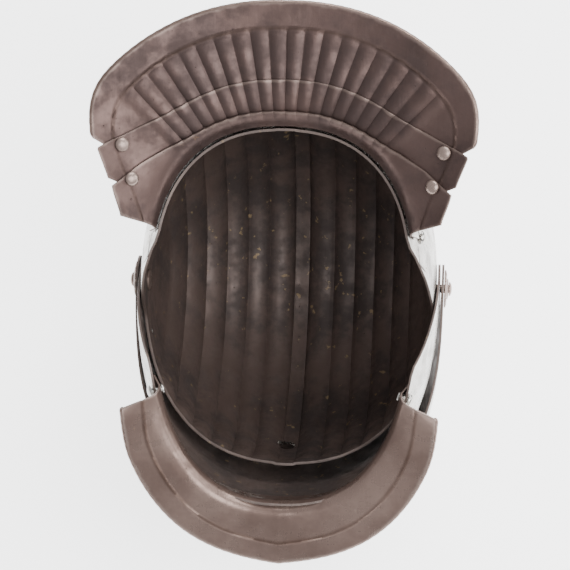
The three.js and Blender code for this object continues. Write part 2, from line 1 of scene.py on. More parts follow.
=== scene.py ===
"""Fluted steel close helmet, lying on its comb with the bevor and visor swung open.

Helmet frame, in millimetres: origin midway between the pivots, +X to the wearer's right,
+Y forward, +Z up. A direction is in degrees in the plane of symmetry, 0 forward and 90 up.
A bearing is in degrees about the upright neck axis, 0 at the nape and 180 at the front.
"""

import json
import logging
import math
from dataclasses import dataclass, field
from enum import Enum

import bpy
import numpy as np
from mathutils import Matrix, Vector, noise


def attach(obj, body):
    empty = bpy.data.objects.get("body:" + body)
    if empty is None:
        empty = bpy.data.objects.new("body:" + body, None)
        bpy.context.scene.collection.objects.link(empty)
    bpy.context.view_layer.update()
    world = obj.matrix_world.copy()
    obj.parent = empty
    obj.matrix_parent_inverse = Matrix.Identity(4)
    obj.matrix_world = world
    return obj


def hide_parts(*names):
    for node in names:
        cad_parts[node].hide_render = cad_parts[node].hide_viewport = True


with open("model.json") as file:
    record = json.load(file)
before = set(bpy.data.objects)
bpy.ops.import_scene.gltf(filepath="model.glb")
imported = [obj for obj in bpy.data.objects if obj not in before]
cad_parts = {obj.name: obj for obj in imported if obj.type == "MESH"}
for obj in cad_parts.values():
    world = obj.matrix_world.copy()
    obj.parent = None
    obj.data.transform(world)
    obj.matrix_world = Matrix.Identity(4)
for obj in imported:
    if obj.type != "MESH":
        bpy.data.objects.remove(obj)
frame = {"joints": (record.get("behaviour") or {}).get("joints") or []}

log = logging.getLogger("close_helmet")

Table = tuple[tuple[float, float], ...]
Outline = list[tuple[float, float]]

REST_TURN = 189.0102
OPENING_ANGLE = 50.0
MM = 0.001

LAME_GAP = 1.1
SHELL_GAP = 0.9
GORGET_GAP = 1.9
SEAT_GAP = 0.3
RIVET_PLAY = 1.3
SKULL_HALF_WIDTH = 103.0
SKULL_THICKNESS = 1.8
PLATE_THICKNESS = 1.6
LAME_THICKNESS = 1.4
NECK_CENTRE_Y = -7.0
LAME_OVERLAP = 11.0
LAME_SEAT_SHARE = 0.18

SKULL_EAR = 25.3
FACE_EAR = 17.0
RIVET_BORE = 2.5
CUTTER_LENGTH = 16.0
BROW_HOLE_DIRECTION = 33.0
BROW_HOLE_RADIUS = 6.6
TEMPLE_HOLE_RADIUS = 1.7
TEMPLE_HOLE_PLACE = (-100.0, 34.0, 16.0)
STUD_DIRECTION = 256.0
STUD_ANGLE = 61.0
FLOOR_GLOW = 2.6

SKULL_REACH: Table = (
    (-90, 155), (-40, 140), (5, 127), (40, 127), (70, 127.5), (90, 129), (110, 130), (135, 131),
    (160, 131), (180, 128), (200, 127), (215, 127), (225, 131.5), (234, 142), (250, 152), (270, 155),
)
COMB_HEIGHT: Table = (
    (-90, 0), (5, 0.8), (40, 2.4), (70, 3.6), (95, 4.8), (130, 4.8), (165, 3.6), (200, 1.8),
    (234, 0.4), (270, 0),
)
BEVOR_REACH: Table = (
    (-180, 150), (-100, 158), (-90, 158), (-75, 161), (-64, 162), (-57, 160), (-50, 151),
    (-42, 144), (-34, 139.5), (-25, 134.5), (-10, 133), (180, 150),
)
VISOR_REACH: Table = (
    (-180, 150), (-50, 150), (-37, 146.5), (-32, 149), (-27, 156), (-22, 166), (-18, 172),
    (-15, 169), (-9, 157), (-3, 147), (1, 143), (4, 143.5), (8, 139.5), (15.3, 138.5),
    (22, 138.5), (180, 150),
)
NECK_FLARE: Table = ((0, 0), (0.19, 0.07), (0.35, 0.21), (0.49, 0.36), (0.74, 0.66), (1, 1))
NECK_DROP: Table = ((0, 0), (0.19, 0.27), (0.35, 0.44), (0.49, 0.56), (0.74, 0.76), (1, 1))
RIM_RADIUS: Table = (
    (0, 150), (30, 152), (45, 152), (54, 150), (62, 139), (70, 122), (76, 113), (86, 104),
    (100, 107), (120, 115), (150, 124), (180, 127),
)
RIM_HEIGHT: Table = (
    (0, -156), (30, -156), (45, -155), (54, -152), (62, -147), (70, -140), (76, -134),
    (86, -128), (100, -122), (120, -132), (150, -148), (180, -155),
)


class Slot(Enum):
    """Material slots of the record."""

    BRIGHT = "bright_steel"
    BROWNED = "browned_steel"


class Body(Enum):
    """Rigid bodies of the frame that the pieces ride on."""

    SKULL = "helmet_skull"
    MIDDLE_LAME = "middle_lame"
    LOWER_LAME = "lower_lame"
    BEVOR = "face_bevor"
    GORGET = "front_lame"
    VISOR = "face_visor"


def value_at(table: Table, place: np.ndarray | float) -> np.ndarray:
    """Reads a table at places between its rows, on a smooth curve through them.

    Args:
        table: Rows of a place and its value, in rising order of place.
        place: Where the table is read.

    Returns:
        The values at those places.
    """
    at, value = np.array(table, float).T
    slope = np.diff(value) / np.diff(at)
    across = (value[2:] - value[:-2]) / (at[2:] - at[:-2])
    tangent = np.concatenate([slope[:1], np.where(slope[:-1] * slope[1:] <= 0, 0.0, across), slope[-1:]])
    place = np.asarray(place, float)
    row = np.clip(np.searchsorted(at, place, side="right") - 1, 0, len(at) - 2)
    span = at[row + 1] - at[row]
    u = np.clip((place - at[row]) / span, 0, 1)
    blend = (2 * u**3 - 3 * u**2 + 1) * value[row] + (3 * u**2 - 2 * u**3) * value[row + 1]
    return blend + span * ((u**3 - 2 * u**2 + u) * tangent[row] + (u**3 - u**2) * tangent[row + 1])


def smoothstep(place: np.ndarray | float, low: float, high: float) -> np.ndarray:
    """Rises smoothly from 0 at low to 1 at high."""
    share = np.clip((np.asarray(place, float) - low) / (high - low), 0, 1)
    return share * share * (3 - 2 * share)


def turned(points: np.ndarray, degrees: float) -> np.ndarray:
    """Turns points about the pivot axis by the right-hand rule."""
    turn = math.radians(degrees)
    y, z = points[..., 1], points[..., 2]
    return np.stack([
        points[..., 0],
        y * math.cos(turn) - z * math.sin(turn),
        y * math.sin(turn) + z * math.cos(turn),
    ], axis=-1)


def pivot_point() -> np.ndarray:
    """Gives the point of the pivot axis in the plane of symmetry, in the row frame in metres."""
    joint = next(j for j in frame["joints"] if j["name"] == "bevor_swing")
    return np.array(joint["pos_m"], float)


def to_row(points: np.ndarray, swung: bool) -> np.ndarray:
    """Carries points from the helmet frame to the row frame.

    Args:
        points: Points in millimetres in the helmet frame, the face closed.
        swung: Whether they belong to the face pieces that are swung open.

    Returns:
        The points in metres in the row frame.
    """
    return turned(points, REST_TURN + (OPENING_ANGLE if swung else 0)) * MM + pivot_point()


@dataclass(frozen=True)
class Form:
    """Bulging surface from pivot to pivot that a shell plate follows."""

    reach: Table
    half_width: float
    squareness: float
    nose_angle: float = 0.0

    def reach_at(self, direction: np.ndarray | float) -> np.ndarray:
        """Gives the reach in the plane of symmetry at directions, brought into the table's turn."""
        first = self.reach[0][0]
        return value_at(self.reach, (np.asarray(direction, float) - first) % 360 + first)

    def inset(self, thickness: float) -> "Form":
        """Gives the same form with a thickness taken off."""
        reach = tuple((at, value - thickness) for at, value in self.reach)
        return Form(reach, self.half_width - thickness, self.squareness, self.nose_angle)

    def point(self, direction: np.ndarray, angle: np.ndarray, lift: np.ndarray | float = 0.0) -> np.ndarray:
        """Places points by direction and by angle from the plane of symmetry.

        Args:
            direction: Directions in degrees.
            angle: Angles from the plane of symmetry, in degrees, positive to the right.
            lift: Height over the form in millimetres.

        Returns:
            The points in the helmet frame.
        """
        power = 2 / self.squareness
        reach = self.reach_at(direction)
        sine = np.abs(np.sin(np.radians(angle)))
        cosine = np.cos(np.radians(np.maximum(np.abs(angle), self.nose_angle)))
        across = sine ** (2 - power) / self.half_width
        out = cosine ** (2 - power) / reach
        length = np.hypot(across, out)
        x = np.sign(angle) * (self.half_width * sine**power + lift * across / length)
        radius = reach * cosine**power + lift * out / length
        turn = np.radians(direction)
        return np.stack([x, radius * np.cos(turn), radius * np.sin(turn)], axis=-1)

    def angle_across(self, x: float) -> float:
        """Gives the angle from the plane of symmetry at a distance from it."""
        return math.degrees(math.asin((x / self.half_width) ** (self.squareness / 2)))

    def angle_at_radius(self, radius: float, direction: np.ndarray) -> np.ndarray:
        """Gives the angle at which the form is a radius from the pivot axis."""
        return np.degrees(np.arccos((radius / self.reach_at(direction)) ** (self.squareness / 2)))

    def radius_about_neck(self, bearing: np.ndarray, height: np.ndarray) -> np.ndarray:
        """Finds the distance from the neck axis to the form.

        Args:
            bearing: Bearings about the neck axis in degrees.
            height: Heights in millimetres.

        Returns:
            The distances in millimetres.
        """
        turn = np.radians(bearing)
        near, far = np.full(np.shape(turn), 20.0), np.full(np.shape(turn), 200.0)
        for _ in range(30):
            radius = (near + far) / 2
            x, y = radius * np.sin(turn), NECK_CENTRE_Y - radius * np.cos(turn)
            reach = self.reach_at(np.degrees(np.arctan2(height, y)))
            share = (np.abs(x) / self.half_width) ** self.squareness
            share = share + (np.hypot(y, height) / reach) ** self.squareness
            near, far = np.where(share > 1, near, radius), np.where(share > 1, radius, far)
        return near


SKULL_FORM = Form(SKULL_REACH, SKULL_HALF_WIDTH, 2.3)
BEVOR_FORM = Form(BEVOR_REACH, SKULL_HALF_WIDTH + SHELL_GAP + PLATE_THICKNESS, 2.3)
VISOR_FORM = Form(VISOR_REACH, BEVOR_FORM.half_width + SHELL_GAP + PLATE_THICKNESS, 2.9, 7.0)


class Bench:
    """Blender operations that every piece is made with."""

    @staticmethod
    def clear() -> None:
        """Leaves edit mode and deselects everything."""
        if bpy.context.object and bpy.context.object.mode != "OBJECT":
            bpy.ops.object.mode_set(mode="OBJECT")
        bpy.ops.object.select_all(action="DESELECT")

    @staticmethod
    def pick(*objects: bpy.types.Object) -> None:
        """Selects objects and makes the first one active."""
        Bench.clear()
        for obj in objects:
            obj.select_set(True)
        bpy.context.view_layer.objects.active = objects[0]

    @staticmethod
    def named(name: str) -> bpy.types.Object:
        """Names the object just added and gives it back."""
        obj = bpy.context.object
        obj.name = name
        obj.data.name = name
        return obj

    @staticmethod
    def sheet(name: str, points: np.ndarray, edge: np.ndarray | None = None,
              line: np.ndarray | None = None) -> bpy.types.Object:
        """Adds a grid and places its vertices.

        Args:
            name: Name of the object.
            points: Places in metres, columns by rows by 3.
            edge: Distance of each point from the plate's edge in millimetres.
            line: How much each point lies in an incised line, where the colour is darkened as painted shade,
                from 0 to 1.

        Returns:
            The new object.
        """
        Bench.clear()
        columns, rows = points.shape[0] - 1, points.shape[1] - 1
        bpy.ops.mesh.primitive_grid_add(x_subdivisions=columns, y_subdivisions=rows, size=2)
        obj = Bench.named(name)
        start = np.empty(len(obj.data.vertices) * 3, np.float64)
        obj.data.vertices.foreach_get("co", start)
        start = start.reshape(-1, 3)
        column = np.rint((start[:, 0] + 1) / 2 * columns).astype(int)
        row = np.rint((start[:, 1] + 1) / 2 * rows).astype(int)
        obj.data.vertices.foreach_set("co", points[column, row].ravel())
        blank = np.zeros(points.shape[:2])
        marks = {
            "edge_distance": blank + 30.0 if edge is None else edge,
            # The crease share darkens the colour along incised lines as painted shade.
            "crease": blank if line is None else line,
        }
        for key, values in marks.items():
            mark = obj.data.attributes.new(key, "FLOAT", "POINT")
            mark.data.foreach_set("value", values[column, row].ravel())
        for _ in range(2):
            obj.data.materials.append(None)
        obj.data.update()
        return obj

    @staticmethod
    def joined(first: bpy.types.Object, *others: bpy.types.Object, merge: float = 0.0) -> bpy.types.Object:
        """Joins objects into the first one, and merges points closer than merge."""
        Bench.pick(first, *others)
        if others:
            bpy.ops.object.join()
        if merge:
            bpy.ops.object.mode_set(mode="EDIT")
            bpy.ops.mesh.select_all(action="SELECT")
            bpy.ops.mesh.remove_doubles(threshold=merge)
            bpy.ops.object.mode_set(mode="OBJECT")
        return first

    @staticmethod
    def face_out(obj: bpy.types.Object, centre: np.ndarray) -> None:
        """Turns all faces of a sheet to point away from a centre."""
        Bench.pick(obj)
        outward = sum((face.center - Vector(centre)).dot(face.normal) for face in obj.data.polygons)
        bpy.ops.object.mode_set(mode="EDIT")
        bpy.ops.mesh.select_all(action="SELECT")
        if outward < 0:
            bpy.ops.mesh.flip_normals()
        bpy.ops.object.mode_set(mode="OBJECT")

    @staticmethod
    def close(obj: bpy.types.Object, fill: bool = False) -> None:
        """Points the faces of a closed shape outwards, and fills its open ends where asked."""
        Bench.pick(obj)
        bpy.ops.object.mode_set(mode="EDIT")
        bpy.ops.mesh.select_all(action="SELECT")
        bpy.ops.mesh.normals_make_consistent(inside=False)
        if fill:
            bpy.ops.mesh.select_all(action="DESELECT")
            bpy.ops.mesh.select_non_manifold()
            bpy.ops.mesh.fill_holes(sides=0)
        bpy.ops.object.mode_set(mode="OBJECT")

    @staticmethod
    def modified(obj: bpy.types.Object, kind: str, **settings: object) -> None:
        """Adds a modifier with its settings and applies it."""
        Bench.pick(obj)
        modifier = obj.modifiers.new(kind.title(), kind)
        for key, value in settings.items():
            setattr(modifier, key, value)
        bpy.ops.object.modifier_apply(modifier=modifier.name)

    @staticmethod
    def thicken(obj: bpy.types.Object, thickness: float, bevel: float = 0.35) -> None:
        """Gives a sheet its wall inwards, the inner face in the second finish, and eases its edges."""
        Bench.modified(
            obj, "SOLIDIFY", thickness=thickness * MM, offset=-1, use_even_offset=False,
            use_quality_normals=True, material_offset=1, material_offset_rim=1,
        )
        Bench.modified(
            obj, "BEVEL", width=bevel * MM, segments=2, limit_method="ANGLE",
            angle_limit=math.radians(75),
        )

    @staticmethod
    def cut(obj: bpy.types.Object, *cutters: bpy.types.Object) -> None:
        """Cuts closed shapes out of a piece and deletes them."""
        if not cutters:
            return
        tool = Bench.joined(*cutters)
        Bench.modified(obj, "BOOLEAN", operation="DIFFERENCE", solver="MANIFOLD", object=tool)
        bpy.data.objects.remove(tool)

    @staticmethod
    def smooth(obj: bpy.types.Object, degrees: float = 35.0) -> None:
        """Shades a piece smooth up to an angle between faces."""
        Bench.pick(obj)
        bpy.ops.object.shade_smooth_by_angle(angle=math.radians(degrees))

    @staticmethod
    def place(obj: bpy.types.Object, point: np.ndarray, axis: np.ndarray) -> None:
        """Lays an object made along +Z along an axis through a point, in its mesh."""
        turn = Vector(axis).to_track_quat("Z", "Y").to_matrix().to_4x4()
        obj.data.transform(Matrix.Translation(Vector(point)) @ turn)
        obj.data.update()

    @staticmethod
    def lathe(name: str, profile: Outline, sides: int) -> bpy.types.Object:
        """Turns a profile about Z, starting from a circle that is extruded and scaled ring by ring.

        Args:
            name: Name of the object.
            profile: Radius and height of each ring in millimetres, the ends closed at the axis.
            sides: Sides of the circle.

        Returns:
            The new object, at the origin.
        """
        Bench.clear()
        bpy.ops.mesh.primitive_circle_add(
            vertices=sides, radius=profile[0][0] * MM, fill_type="NGON", location=(0, 0, profile[0][1] * MM)
        )
        obj = Bench.named(name)
        bpy.ops.object.transform_apply(location=True)
        bpy.ops.object.mode_set(mode="EDIT")
        bpy.ops.mesh.select_all(action="SELECT")
        for (radius, height), (wider, higher) in zip(profile, profile[1:]):
            bpy.ops.mesh.extrude_region_move(TRANSFORM_OT_translate={"value": (0, 0, (higher - height) * MM)})
            scale = wider / radius
            bpy.ops.transform.resize(value=(scale, scale, 1), center_override=(0, 0, higher * MM))
        bpy.ops.object.mode_set(mode="OBJECT")
        Bench.close(obj)
        return obj

    @staticmethod
    def rod(radius: float, length: float, point: np.ndarray, axis: np.ndarray,
            sides: int = 32) -> bpy.types.Object:
        """Adds a closed round cutter centred on a point, sizes in millimetres and the point in metres."""
        Bench.clear()
        bpy.ops.mesh.primitive_cylinder_add(vertices=sides, radius=radius * MM, depth=length * MM)
        obj = Bench.named("cutter")
        Bench.place(obj, point, axis)
        return obj

    @staticmethod
    def rivet_holes(*places: "RivetPlace") -> list[bpy.types.Object]:
        """Adds a cutter for the hole of each rivet."""
        return [Bench.rod(RIVET_BORE, CUTTER_LENGTH, place.point, place.axis) for place in places]


class Number:
    """A shader socket that takes part in sums as a number."""

    def __init__(self, shop: "Shader", socket: bpy.types.NodeSocket) -> None:
        """Keeps the socket and the shader that its nodes go in."""
        self.shop = shop
        self.socket = socket

    def _math(self, operation: str, first: "Number | float", second: "Number | float") -> "Number":
        """Adds a Math node and gives its result."""
        node = self.shop.node("ShaderNodeMath", {"operation": operation}, {0: first, 1: second})
        return Number(self.shop, node.outputs[0])

    def __add__(self, other: "Number | float") -> "Number":
        """Adds."""
        return self._math("ADD", self, other)

    __radd__ = __add__

    def __sub__(self, other: "Number | float") -> "Number":
        """Subtracts."""
        return self._math("SUBTRACT", self, other)

    def __rsub__(self, other: "Number | float") -> "Number":
        """Subtracts from a value."""
        return self._math("SUBTRACT", other, self)

    def __mul__(self, other: "Number | float") -> "Number":
        """Multiplies."""
        return self._math("MULTIPLY", self, other)

    __rmul__ = __mul__


class Shader:
    """Node tree of one material."""

    def __init__(self, name: str) -> None:
        """Starts a material with an empty tree."""
        self.material = bpy.data.materials.new(name)
        self.material.use_nodes = True
        self.tree = self.material.node_tree
        self.tree.nodes.clear()
        self.coordinates = self.node("ShaderNodeTexCoord", {}, {}).outputs["Object"]

    def node(self, kind: str, settings: dict, inputs: dict) -> bpy.types.Node:
        """Adds a node.

        Args:
            kind: Type of the node.
            settings: Its properties.
            inputs: Values or links of its sockets, by name or number.

        Returns:
            The node.
        """
        made = self.tree.nodes.new(kind)
        for key, value in settings.items():
            setattr(made, key, value)
        for key, value in inputs.items():
            source = value.socket if isinstance(value, Number) else value
            if isinstance(source, bpy.types.NodeSocket):
                self.tree.links.new(source, made.inputs[key])
            else:
                made.inputs[key].default_value = source
        return made

    def noise(self, scale: float, detail: float = 3.0, stretch: tuple = (1, 1, 1),
              lean: tuple = (0, 0, 0)) -> Number:
        """Gives a noise value over the piece, stretched and turned as asked."""
        mapping = self.node("ShaderNodeMapping", {}, {
            "Vector": self.coordinates, "Scale": stretch, "Rotation": tuple(math.radians(a) for a in lean),
        })
        texture = self.node("ShaderNodeTexNoise", {}, {
            "Vector": mapping.outputs[0], "Scale": scale, "Detail": detail, "Roughness": 0.6,
        })
        return Number(self, texture.outputs[0])

    def between(self, value: Number, low: float, high: float) -> Number:
        """Gives 0 below low and 1 above high, and rises in between."""
        node = self.node("ShaderNodeMapRange", {"interpolation_type": "SMOOTHSTEP"}, {
            "Value": value, "From Min": low, "From Max": high, "To Min": 0.0, "To Max": 1.0,
        })
        return Number(self, node.outputs[0])

    def attribute(self, name: str) -> Number:
        """Gives a value stored on the piece's points."""
        node = self.node("ShaderNodeAttribute", {"attribute_type": "GEOMETRY", "attribute_name": name}, {})
        return Number(self, node.outputs["Fac"])

    def mix(self, share: Number, first: object, second: object) -> bpy.types.NodeSocket:
        """Mixes two colours by a share."""
        node = self.node("ShaderNodeMix", {"data_type": "RGBA"}, {0: share, 6: first, 7: second})
        return node.outputs[2]

    def finish(self, colour: object, roughness: Number, metallic: Number | float, height: Number,
               depth: float, glow: float = 0.0) -> bpy.types.Material:
        """Ends the tree in a Principled surface with a bump, its depth in metres, and a glow if any."""
        bump = self.node("ShaderNodeBump", {}, {"Strength": 1.0, "Distance": depth, "Height": height})
        surface = self.node("ShaderNodeBsdfPrincipled", {}, {
            "Base Color": colour, "Roughness": roughness, "Metallic": metallic, "Normal": bump.outputs[0],
            "Emission Color": (1, 1, 1, 1), "Emission Strength": glow,
        })
        output = self.node("ShaderNodeOutputMaterial", {}, {"Surface": surface.outputs[0]})
        self.tree.nodes.active = output
        return self.material


@dataclass(frozen=True)
class SteelFinish:
    """Old steel, between its clean colour and its stained one, with scratches, pits and flecks, and painted
    shade along incised lines.
    """

    name: str
    clean: tuple[float, float, float]
    stained: tuple[float, float, float]
    fleck: tuple[float, float, float]
    pit: tuple[float, float, float]
    edge: tuple[float, float, float]
    # Colour of the painted shade along incised lines.
    crease_shade: tuple[float, float, float]
    roughness: float
    roughness_spread: float
    metallic: float
    fleck_level: float
    pit_level: float
    hammer: float

    def material(self) -> bpy.types.Material:
        """Builds the material.

        Returns:
            The finished material.
        """
        shader = Shader(self.name)
        cloud = shader.between(shader.noise(14, 5), 0.36, 0.66)
        mottle = shader.between(shader.noise(70, 6), 0.35, 0.68)
        scratches = shader.noise(60, 2, (1, 1, 14), (12, 0, 20)) * 0.5
        scratches = scratches + shader.noise(60, 2, (13, 1, 1), (0, 30, 8)) * 0.5
        pits = shader.between(shader.noise(330, 3), self.pit_level, self.pit_level + 0.05)
        spots = shader.noise(150, 3) + cloud * 0.06
        flecks = shader.between(spots, self.fleck_level, self.fleck_level + 0.05)
        worn = 1 - shader.between(shader.attribute("edge_distance") + mottle * 1.4, 0.9, 3.0)
        stain = shader.between(cloud * 0.6 + mottle * 0.4, 0.1, 0.9)
        colour = shader.mix(stain, (*self.clean, 1), (*self.stained, 1))
        colour = shader.mix(flecks * 0.6, colour, (*self.fleck, 1))
        colour = shader.mix(pits * 0.45, colour, (*self.pit, 1))
        colour = shader.mix(worn * 0.6, colour, (*self.edge, 1))
        # Painted shade: the incised line is darkened towards the crease colour, as if its groove lay in
        # shade.
        colour = shader.mix(shader.attribute("crease") * (0.45 + cloud * 0.3), colour, (*self.crease_shade, 1))
        roughness = self.roughness + (mottle - 0.5) * self.roughness_spread + pits * 0.2 + flecks * 0.15
        roughness = roughness + (scratches - 0.5) * self.roughness_spread
        height = shader.noise(45, 3) * self.hammer + scratches * 0.12 + mottle * 0.08 - pits * 0.3
        return shader.finish(colour, roughness, self.metallic, height, 0.0006)


BRIGHT_STEEL = SteelFinish(
    "bright_steel", (0.44, 0.42, 0.395), (0.25, 0.235, 0.22), (0.20, 0.14, 0.09), (0.06, 0.045, 0.035),
    (0.52, 0.50, 0.47), (0.12, 0.09, 0.065), 0.30, 0.2, 1.0, 0.70, 0.66, 0.5,
)
BROWNED_NECK = SteelFinish(
    "browned_steel_neck", (0.088, 0.056, 0.049), (0.052, 0.034, 0.031),
    (0.16, 0.10, 0.065), (0.02, 0.013, 0.010),
    (0.19, 0.14, 0.12), (0.030, 0.016, 0.010), 0.46, 0.22, 0.75, 0.76, 0.70, 0.6,
)
BROWNED_BOWL = SteelFinish(
    "browned_steel_bowl", (0.116, 0.082, 0.070), (0.062, 0.047, 0.043),
    (0.36, 0.26, 0.14), (0.015, 0.011, 0.009),
    (0.13, 0.10, 0.088), (0.07, 0.038, 0.022), 0.60, 0.24, 0.45, 0.69, 0.69, 1.0,
)
BROWNED_FLANGE = SteelFinish(
    "browned_steel_flange", (0.20, 0.140, 0.118), (0.125, 0.083, 0.069),
    (0.26, 0.17, 0.10), (0.03, 0.02, 0.015),
    (0.30, 0.23, 0.20), (0.050, 0.025, 0.015), 0.35, 0.2, 0.7, 0.74, 0.70, 0.6,
)


@dataclass
class Finishes:
    """The materials, made once and shared by the pieces."""

    bright: bpy.types.Material = field(default_factory=BRIGHT_STEEL.material)
    neck: bpy.types.Material = field(default_factory=BROWNED_NECK.material)
    bowl: bpy.types.Material = field(default_factory=BROWNED_BOWL.material)
    flange: bpy.types.Material = field(default_factory=BROWNED_FLANGE.material)


def dress(obj: bpy.types.Object, body: Body, nodes: tuple[str, ...],
          materials: tuple[bpy.types.Material, ...]) -> None:
    """Gives a finished piece its materials, its body and the nodes it stands for.

    Args:
        obj: The piece.
        body: Body that it rides on.
        nodes: Nodes of the frame that it replaces.
        materials: Finishes, the outer face's first.
    """
    order = [polygon.material_index for polygon in obj.data.polygons]
    obj.data.materials.clear()
    for material in materials:
        obj.data.materials.append(material)
    obj.data.polygons.foreach_set("material_index", [min(index, len(materials) - 1) for index in order])
    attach(obj, body.value)
    if nodes:
        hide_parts(*nodes)
    log.info("%s: %d faces on %s", obj.name, len(obj.data.polygons), body.value)


def inside(outline: Outline, y: float, z: float) -> bool:
    """Tells whether a point of the side view lies inside an outline."""
    hit = False
    for (y0, z0), (y1, z1) in zip(outline, outline[1:] + outline[:1]):
        if (z0 > z) != (z1 > z) and y < (y1 - y0) * (z - z0) / (z1 - z0) + y0:
            hit = not hit
    return hit


def quadratic(start: tuple, control: tuple, end: tuple, steps: int = 12) -> Outline:
    """Gives the points of a quadratic curve after its start."""
    points = []
    for step in range(1, steps + 1):
        t = step / steps
        points.append(tuple(
            (1 - t) ** 2 * a + 2 * t * (1 - t) * b + t**2 * c for a, b, c in zip(start, control, end)
        ))
    return points


def arc(radius: float, start: float, end: float, steps: int = 24) -> Outline:
    """Gives the points of an arc about the pivot."""
    angles = [math.radians(start + (end - start) * step / steps) for step in range(steps + 1)]
    return [(radius * math.cos(a), radius * math.sin(a)) for a in angles]


def onward(start: tuple, end: tuple, share: float) -> tuple[float, float]:
    """Gives a point on the line from start to end."""
    return (start[0] + (end[0] - start[0]) * share, start[1] + (end[1] - start[1]) * share)


@dataclass
class ShellPlate:
    """A plate that follows a form from pivot to pivot, cut to an outline of the side view."""

    name: str
    form: Form
    outline: Outline
    middle: float
    seam: float
    thickness: float
    rows: int
    swung: bool
    ear_radius: float
    bore: float = 3.4

    def columns(self) -> list[float]:
        """Gives column places: 0 in the plane of symmetry, 1 at the ear and 2 at the pivot hole."""
        return [step / 52 for step in range(52)] + [1 + step / 8 for step in range(9)]

    def ear_angle(self, share: float, direction: np.ndarray) -> np.ndarray:
        """Gives the angle of a column on the ear, from its edge at 0 to the pivot hole at 1."""
        return self.form.angle_at_radius(self.ear_radius + (self.bore - self.ear_radius) * share, direction)

    def angle(self, place: float, direction: np.ndarray) -> np.ndarray:
        """Gives the angle from the plane of symmetry of a column at its place."""
        if place >= 1:
            return self.ear_angle(place - 1, direction)
        return self.ear_angle(0, direction) * math.sin(place * math.pi / 2) ** 0.92

    def lift(self, place: float, direction: np.ndarray) -> np.ndarray:
        """Gives the height of a column over the form."""
        return np.zeros(np.shape(direction))

    def radius(self, place: float, direction: float) -> float:
        """Gives a column's distance from the pivot axis at a direction."""
        angle = self.angle(place, np.array(direction))
        point = self.form.point(np.array(direction), angle, 0.0)
        return float(np.hypot(point[1], point[2]))

    def border(self, place: float, way: int) -> float:
        """Finds the direction at which a column leaves the outline.

        Args:
            place: The column's place.
            way: 1 towards larger directions and -1 towards smaller ones.

        Returns:
            The direction in degrees.
        """
        def within(direction: float) -> bool:
            """Tells whether the column is inside the outline at a direction."""
            radius = self.radius(place, direction)
            radius = max(radius, self.ear_radius * 1.002)
            turn = math.radians(direction)
            return inside(self.outline, radius * math.cos(turn), radius * math.sin(turn))

        limit = self.seam if way < 0 else self.seam + 360
        good = self.middle
        bad = good + way * 3
        while within(bad):
            good, bad = bad, bad + way * 3
            if (bad - limit) * way > 0:
                return limit
        for _ in range(14):
            half = (good + bad) / 2
            good, bad = (half, bad) if within(half) else (good, half)
        return good

    def uneven(self, points: np.ndarray) -> np.ndarray:
        """Gives the small unevenness of hammered plate, in millimetres."""
        flat = points.reshape(-1, 3)
        values = [noise.noise(Vector(p) * 0.035) * 0.35 for p in flat]
        return np.array(values).reshape(points.shape[:2])

    def build(self) -> bpy.types.Object:
        """Builds the plate with its wall and its round ears.

        Returns:
            The plate, before holes are cut.
        """
        places = self.columns()
        shares = np.linspace(0, 1, self.rows + 1)
        half, edges, ears = [], [], []
        for place in places:
            low, high = self.border(place, -1), self.border(place, 1)
            if high - low > 350:
                low, high = self.seam, self.seam + 360
            direction = low + (high - low) * shares
            half.append(self.form.point(direction, self.angle(place, direction), self.lift(place, direction)))
            radius = self.radius(place, (low + high) / 2)
            along = np.radians(high - low) * radius * np.minimum(shares, 1 - shares)
            ear = radius <= self.ear_radius * 1.002
            edges.append(np.full(self.rows + 1, 30.0) if ear else np.minimum(along, 30.0))
            if ear and high - low < 359:
                back = high + (low + 360 - high) * np.linspace(0, 1, 25)
                ears.append(self.form.point(back, self.angle(place, back), 0.0))
        half, edges = np.array(half), np.array(edges)
        mirrored = half * np.array([-1, 1, 1])
        points = np.concatenate([mirrored[::-1], half[1:]])
        edge = np.concatenate([edges[::-1], edges[1:]])
        bumps = self.uneven(points)
        from_pivot = np.hypot(points[..., 1], points[..., 2])
        fade = np.clip(edge / 6, 0, 1) * smoothstep(from_pivot, self.ear_radius + 2, self.ear_radius + 18)
        points = points * (1 + (bumps * fade / 130)[..., None])
        sheet = Bench.sheet(self.name, to_row(points, self.swung), edge)
        patches = []
        if ears:
            ears = np.array(ears)
            reach = self.ear_radius - np.hypot(ears[..., 1], ears[..., 2])
            for side in (1, -1):
                patch = ears * np.array([side, 1, 1])
                patches.append(Bench.sheet("ear", to_row(patch, self.swung), reach))
        for part in (*patches, sheet):
            Bench.face_out(part, pivot_point())
        sheet = Bench.joined(sheet, *patches, merge=2e-5)
        Bench.thicken(sheet, self.thickness)
        return sheet


